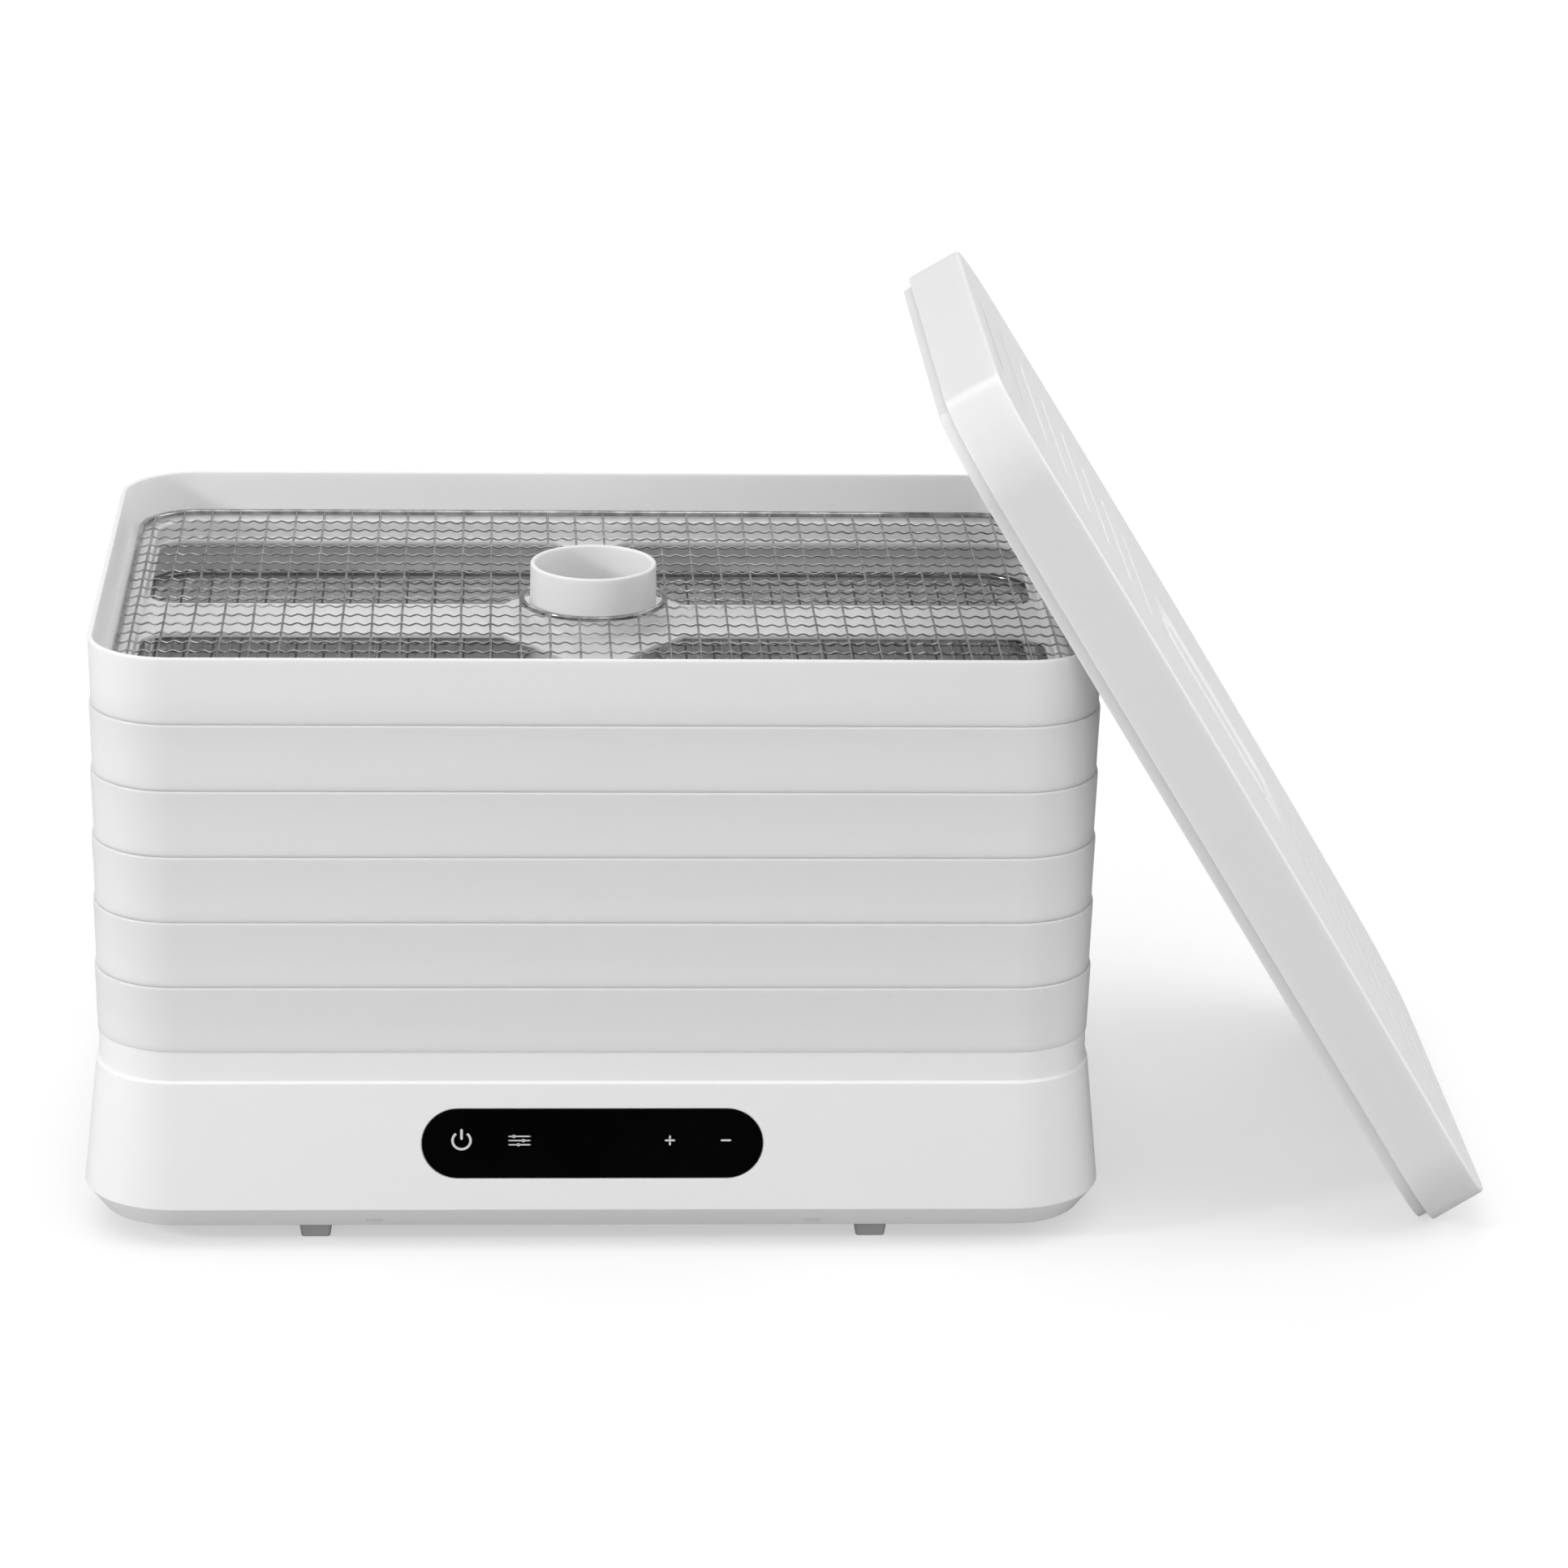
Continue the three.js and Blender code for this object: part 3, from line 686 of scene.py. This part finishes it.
def build_housing():
    bm = bmesh.new()
    top = COLLAR_INSET
    out = top - LEDGE
    low = out - FLARE
    inner = BASE_WALL
    corners = [
        (top, BASE_TOP, 0.6),
        (top, SKIRT_TOP + 0.2, 0.35),
        (out, SKIRT_TOP - 0.4, 0.9),
        (low, SKIRT_BOTTOM, 0.7),
        (low + BEVEL, BASE_FLOOR, 1.2),
        (low + BEVEL + inner, BASE_FLOOR, 0.6),
        (low + inner, SKIRT_BOTTOM + 1, 2),
        (out + inner, SKIRT_TOP - 2, 1),
        (top + 1.5, SKIRT_TOP, 0.6),
        (top + 1.5, BASE_TOP, 0.5),
    ]
    sweep(bm, RIM_X, RIM_Y, RIM_R, filleted(corners, steps=5), steps=14)
    for vert in bm.verts:
        drop = min(1, max(0, (SKIRT_TOP - vert.co.z) / (SKIRT_TOP - SKIRT_BOTTOM)))
        vert.co.x *= 1 + drop * (SIDE_FLARE - FLARE) / (RIM_X + FLARE)
    piece = mesh_object("base_shell", bm, [WHITE_BODY_PAINTED_LIGHTER])
    flared = [(0.2, -2.2), (0.2, -0.55), (0.0, -0.45), (-0.55, 0.15), (-0.55, 3)]
    pocket = pill_plate(PANEL_X + PANEL_GAP, PANEL_Y + PANEL_GAP, flared)
    cut_from(piece, mesh_object("pocket_cut", onto_front(pocket), [WHITE_BODY_PAINTED_LIGHTER]))
    for x in (-CLIP_X, CLIP_X):
        bm = bmesh.new()
        rings = [add_ring(bm, rounded_rect(*CLIP_HALF, 2.2, 5), z) for z in (BASE_FLOOR - 2, BASE_FLOOR + 4)]
        skin(bm, rings)
        cap(bm, rings[0])
        cap(bm, rings[1])
        bmesh.ops.translate(bm, vec=(x, -RIM_Y + 0.2, 0), verts=bm.verts)
        cut_from(piece, mesh_object("clip_cut", bm, [WHITE_BODY_PAINTED_LIGHTER]))
    cut_from(piece, mesh_object("gland_cut", onto_rear(disc_hole(GLAND_HOLE, -12, 12)), [WHITE_BODY_PAINTED_LIGHTER]))
    piece.data.set_sharp_from_angle(angle=math.radians(38))
    add_weighted_normals(place(piece))
    settle(piece, "base", "white_body", "base_housing")


def build_feet():
    side = [(1.6, FOOT_TOP, 0), (0, FOOT_TOP, 0.4), (1.2, 0, 0.6)]
    sole = [(3.2, 0, 0.3), (3.5, 0.5, 0.3), (4.4, 0.5, 0)]
    section = filleted(side + sole, steps=3, closed=False)
    for number in range(1, 5):
        low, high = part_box(f"foot_{number}")
        half_x = (high.x - low.x) / 2 / MM
        half_y = (high.y - low.y) / 2 / MM
        bm = bmesh.new()
        rings = sweep(bm, half_x, half_y, FOOT_R, section, closed=False, steps=6)
        cap(bm, rings[0])
        cap(bm, rings[-1])
        piece = mesh_object(f"foot_pad_{number}", bm, [FOOT_PAINTED_SHADE])
        piece.location = ((low.x + high.x) / 2, (low.y + high.y) / 2, 0)
        settle(piece, "base", "foot_plastic", f"foot_{number}")


def build_panel():
    edge = filleted([(0, -1.1, 0), (0, 0, 0.35), (0.5, 0, 0)], steps=4, closed=False)
    piece = mesh_object("touch_lens", onto_front(pill_plate(PANEL_X, PANEL_Y, edge)), [LENS])
    settle(place(piece), "base", "black_lens", "control_lens")


def mark(name, outlines):
    """A printed mark on the lens: flat closed outlines, a hair proud of it."""
    bm = bmesh.new()
    for outline in outlines:
        rings = [add_ring(bm, outline, z) for z in (0.02, 0.06)]
        skin(bm, rings)
        cap(bm, rings[0])
        cap(bm, rings[1])
    piece = mesh_object(name, onto_front(bm), [MARK], weighted=False)
    settle(place(piece), "base", "black_lens")


def bar(x, y, length, width, angle=0.0):
    """A rounded stroke centred on (x, y)."""
    turn = Matrix.Rotation(angle, 2)
    half = width / 2
    return [Vector((x, y)) + turn @ p for p in rounded_rect(length / 2, half, half * 0.6, 3)]


def build_marks():
    row = MARK_ROW
    power = MARK_X["power"]
    gap = math.radians(38)
    outer = arc((power, row), 4.1, math.pi / 2 + gap, math.pi / 2 - gap + TAU, 30)
    inner = arc((power, row), 3.1, math.pi / 2 - gap + TAU, math.pi / 2 + gap, 30)
    mark("mark_power", [outer + inner, bar(power, row + 2.6, 4.6, 1.05, math.pi / 2)])
    sliders = []
    for i, knob in enumerate((-2.2, 1.6, -0.4)):
        y = row + (1 - i) * 1.75
        sliders.append(bar(MARK_X["set"], y, 9.0, 0.55))
        sliders.append(bar(MARK_X["set"] + knob, y, 1.5, 1.3))
    mark("mark_set", sliders)
    plus = MARK_X["plus"]
    arms = [bar(plus, row + side * 1.3, 1.7, 0.8, math.pi / 2) for side in (1, -1)]
    mark("mark_plus", [bar(plus, row, 4.3, 0.8), *arms])
    mark("mark_minus", [bar(MARK_X["minus"], row, 4.3, 0.8)])


def build_gland():
    bm = bmesh.new()
    section = filleted(
        [(3.4, -7, 0), (6.0, -7, 0.4), (6.0, 4.0, 0), (9.0, 4.2, 0.5), (9.0, 7.0, 0.8), (7.2, 7.2, 0.6),
         (6.2, 14.0, 0.8), (3.4, 14.0, 0.5)],
        steps=3,
    )
    revolve(bm, section, steps=40)
    settle(place(mesh_object("cord_bushing", onto_rear(bm), [DARK])), "base", "dark_plastic", "cord_gland")


# Lid ----------------------------------------------------------------------------------------------


def lid_vents():
    return [Vector((side * x, 0)) for x in VENTS for side in (-1, 1)]


def arch_lid(bm):
    """Arches the lid's top along its length, after cutting it into strips narrow enough to bend smoothly."""
    for i in range(1, LID_STRIPS):
        cut_at = Vector((LID_X * (2 * i / LID_STRIPS - 1), 0, 0))
        every = bm.verts[:] + bm.edges[:] + bm.faces[:]
        bmesh.ops.bisect_plane(bm, geom=every, plane_co=cut_at, plane_no=Vector((1, 0, 0)), dist=0.01)
    for vert in bm.verts:
        if vert.co.z > 4:
            arch = LID_ARCH * (1 - (vert.co.x / LID_X) ** 2)
            vert.co.z += arch * min(1, (vert.co.z - 4) / 12)


def build_cover_mesh():
    bm = bmesh.new()
    under = LID_T - LID_WALL
    rim = 8
    corners = [
        (rim, LID_T, 0),
        (0.3, LID_T, 1.3),
        (0, 0, 0.6),
        (LID_WALL, 0, 0.3),
        (LID_WALL, 1.0, 0.3),
        (LIP_INSET, 1.0, 0.4),
        (LIP_INSET + 0.1, -LIP_DROP, 0.6),
        (LIP_INSET + LID_WALL, -LIP_DROP, 0.6),
        (LIP_INSET + LID_WALL, 3.0, 0.6),
        (LID_WALL, 3.0, 0.5),
        (LID_WALL + 0.3, under, 2.0),
        (rim, under, 0),
    ]
    rings = sweep(bm, LID_X, LID_Y, LID_R, filleted(corners, closed=False), closed=False, steps=14)
    top_loops = [rings[0]]
    under_loops = [rings[-1]]
    edge = [(0.3, LID_T, 0), (0, LID_T, 0.3), (0, under, 0.3), (0.3, under, 0)]
    slit = filleted(edge, steps=3, closed=False)
    for centre in lid_vents():
        walls = []
        for u, z in slit:
            half_w = VENT_W / 2 + u
            outline = rounded_rect(half_w, VENT_L / 2 + u, half_w - 0.01, 5)
            walls.append(add_ring(bm, [p + centre for p in outline], z))
        skin(bm, walls)
        top_loops.append(walls[0])
        under_loops.append(walls[-1])
    floor = LID_T - DISH_DEEP
    back = floor - LID_WALL
    dish = filleted([(-3, LID_T, 0), (0, LID_T, 3), (4, floor, 1.6), (4.8, floor, 0)], steps=6, closed=False)
    dish_rings = sweep(bm, DISH_X, DISH_Y, DISH_R, dish, closed=False, steps=12)
    bowl = filleted([(-3, under, 0), (-2, under, 1.5), (2, back, 1), (4, back, 0)], closed=False)
    bowl_rings = sweep(bm, DISH_X + 2, DISH_Y + 2, DISH_R + 2, bowl, closed=False, steps=12)
    top_loops.append(dish_rings[0])
    under_loops.append(bowl_rings[0])
    floor_loops = [dish_rings[-1]]
    back_loops = [bowl_rings[-1]]
    half = (DISH_Y - 7 - GRIP_Y) / 2
    for side in (-1, 1):
        centre = Vector((0, side * (GRIP_Y + half)))
        for loops, level, extra in ((floor_loops, floor, 0), (back_loops, back, 1.6)):
            bottom = level + DISH_DEEP - WELL_DEEP
            well = [(-1.2, level, 0), (0, level, 1.2), (0.8, bottom, 2.4), (3.4, bottom, 0)]
            walls = []
            for u, z in filleted(well, closed=False):
                outline = rounded_rect(GRIP_X + extra - u, half + extra - u, 7 + extra - u, 7)
                walls.append(add_ring(bm, [p + centre for p in outline], z))
            skin(bm, walls)
            loops.append(walls[0])
            cap(bm, walls[-1])
    for loops in (top_loops, under_loops, floor_loops, back_loops):
        cap(bm, *loops)
    arch_lid(bm)
    return bm


def onto_lid(piece):
    """Puts a piece drawn in the lid's own frame in its leaning place."""
    turn = Matrix.Rotation(LID_LEAN, 4, "Y")
    piece.matrix_world = Matrix.Translation((STACK + LID_AT) * MM) @ turn
    return piece


def build_cover():
    cover = mesh_object("lid_cover", build_cover_mesh(), [WHITE_LID_PAINTED_DARKER])
    settle(onto_lid(cover), "lid", "white_lid", "lid_shell")


def build_grip():
    bm = bmesh.new()
    low = LID_T - DISH_DEEP + 0.3
    corners = [
        (9, low, 0),
        (2, low, 0.6),
        (2.6, LID_T - 3, 1.2),
        (0.2, LID_T - 2.4, 0.8),
        (0.2, LID_T + 0.9, 1.4),
        (20, LID_T + 1.3, 0),
    ]
    rings = []
    for u, z in filleted(corners, closed=False):
        inset = min(u, 9)
        rings.append(add_ring(bm, rounded_rect(GRIP_X + 1 - inset, GRIP_Y + 1 - inset, 7 - min(u, 6), 8), z))
    skin(bm, rings)
    cap(bm, rings[0])
    cap(bm, rings[-1])
    settle(onto_lid(mesh_object("lid_grip", bm, [WHITE_LID_PAINTED_DARKER])), "lid", "white_lid", "lid_handle")


def build_deflector():
    bm = bmesh.new()
    top = LID_T - WELL_DEEP - LID_WALL - 0.4
    cone = [(0.01, top, 0), (30, top, 0.5), (30, top - 2, 0.8), (6, top - 9, 3), (0.01, top - 9, 0)]
    rings = revolve(bm, filleted(cone, closed=False), closed=False, steps=56)
    bm.faces.new(rings[0])
    bm.faces.new(rings[-1])
    settle(onto_lid(mesh_object("air_deflector", bm, [WHITE_LID_PAINTED_DARKER])), "lid", "white_lid", "lid_deflector")


# Carried-over solids ------------------------------------------------------------------------------

CARRIED = {
    "base_deck": WHITE_BODY_PAINTED_LIGHTER,
    "base_floor": INNER,
    "air_nozzle": INNER,
    "outlet_grille": INNER,
    "air_duct": INNER,
    "fan_motor": STEEL,
    "motor_bracket": INNER,
    "motor_shaft": STEEL,
    "fan_impeller": DARK,
    "heater_frame": MICA,
    "heater_coil": COIL,
    "thermal_cutout": DARK,
    "temperature_sensor": STEEL,
    "power_board": BOARD,
    "control_board": BOARD,
    "display_module": DARK,
    "floor_screw_1": STEEL,
    "floor_screw_2": STEEL,
    "floor_screw_3": STEEL,
    "floor_screw_4": STEEL,
}


def dress_carried():
    for name, material in CARRIED.items():
        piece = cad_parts[name]
        piece.data.materials.clear()
        piece.data.materials.append(material)
        modifier = piece.modifiers.new("worn_edges", "BEVEL")
        modifier.width = 0.25 * MM
        modifier.segments = 2
        modifier.limit_method = "ANGLE"
        modifier.angle_limit = math.radians(50)
        add_weighted_normals(piece)


# Studio -------------------------------------------------------------------------------------------


def build_studio():
    """A pale sweep under a plain white dome. To the camera alone the sweep also glows, so it is white without
    lighting the object from below."""
    bm = bmesh.new()
    half = 5.0
    back = 3.2
    rise = 1.6
    profile = [(-7.0, 0.0), (back - rise, 0.0)]
    for i in range(1, 13):
        angle = math.pi / 2 * i / 12
        profile.append((back - rise + rise * math.sin(angle), rise - rise * math.cos(angle)))
    profile.append((back, 6.0))
    rows = [[bm.verts.new((x, y, z)) for x in (-half, half)] for y, z in profile]
    for lower, upper in zip(rows, rows[1:]):
        bm.faces.new((lower[0], lower[1], upper[1], upper[0]))
    mesh = bpy.data.meshes.new("studio_floor")
    bm.to_mesh(mesh)
    bm.free()
    mesh.polygons.foreach_set("use_smooth", [True] * len(mesh.polygons))
    floor = bpy.data.objects.new("studio_floor", mesh)
    bpy.context.scene.collection.objects.link(floor)
    look = Look("lit_sweep", Specular_IOR_Level=0.1, Emission_Color=(1, 1, 1, 1))
    glow = look.nodes.new("ShaderNodeMath")
    glow.operation = "MULTIPLY"
    glow.inputs[1].default_value = FLOOR_GLOW
    look.links.new(look.nodes.new("ShaderNodeLightPath").outputs["Is Camera Ray"], glow.inputs[0])
    look.links.new(glow.outputs["Value"], look.shader.inputs["Emission Strength"])
    look.colour(look.noise(3, 2), grey(0.50), grey(0.51))
    look.rough(look.noise(20, 2), 0.85, 0.95)
    mesh.materials.append(look.material)

    world = bpy.data.worlds.new("studio_air")
    bpy.context.scene.world = world
    world.use_nodes = True
    background = world.node_tree.nodes["Background"]
    background.inputs["Color"].default_value = (1, 1, 1, 1)
    background.inputs["Strength"].default_value = DOME_STRENGTH


def add_softbox(name, place_m, aim_m, size_m, watts):
    lamp = bpy.data.lights.new(name, "AREA")
    lamp.shape = "RECTANGLE"
    lamp.size, lamp.size_y = size_m
    lamp.energy = watts
    holder = bpy.data.objects.new(name, lamp)
    bpy.context.scene.collection.objects.link(holder)
    holder.location = place_m
    holder.rotation_euler = (Vector(aim_m) - Vector(place_m)).to_track_quat("-Z", "Y").to_euler()


def build_lights():
    aim = STACK * MM + Vector((0.05, 0, 0.15))
    add_softbox("key_left", aim + Vector((-2.12, -1.0, 0.84)), aim, (0.3, 0.3), 19)
    add_softbox("top", aim + Vector((0.0, -0.6, 2.2)), aim, (0.8, 0.8), 4)
    add_softbox("right", aim + Vector((2.4, -0.4, 1.2)), aim, (1.5, 1.5), 18)
    add_softbox("back", aim + Vector((0, 2.2, 1.9)), aim, (2.4, 1.2), 20)


def build_camera():
    """The camera looks down at the stack from a little left of its middle, with a long lens."""
    pitch, yaw, roll = math.radians(18.714), math.radians(3.061), math.radians(1.10)
    forward = Vector((math.sin(yaw) * math.cos(pitch), math.cos(yaw) * math.cos(pitch), -math.sin(pitch)))
    right = Vector((math.cos(yaw), -math.sin(yaw), 0))
    up = right.cross(forward)
    tilted_right = math.cos(roll) * right + math.sin(roll) * up
    tilted_up = -math.sin(roll) * right + math.cos(roll) * up
    data = bpy.data.cameras.new("camera")
    data.sensor_width = 36
    data.lens = 127.43
    data.clip_end = 50
    camera = bpy.data.objects.new("camera", data)
    bpy.context.scene.collection.objects.link(camera)
    position = (STACK + Vector((-36.985, -2192.996, BASE_TOP + 810.979))) * MM
    turn = Matrix((tilted_right, tilted_up, -forward)).transposed().to_4x4()
    camera.matrix_world = Matrix.Translation(position) @ turn
    bpy.context.scene.camera = camera


build_camera()
build_studio()
build_lights()
build_trays()
build_inserts()
build_housing()
build_feet()
build_panel()
build_marks()
build_gland()
build_cover()
build_grip()
build_deflector()
dress_carried()
bpy.context.scene.view_settings.view_transform = "Standard"
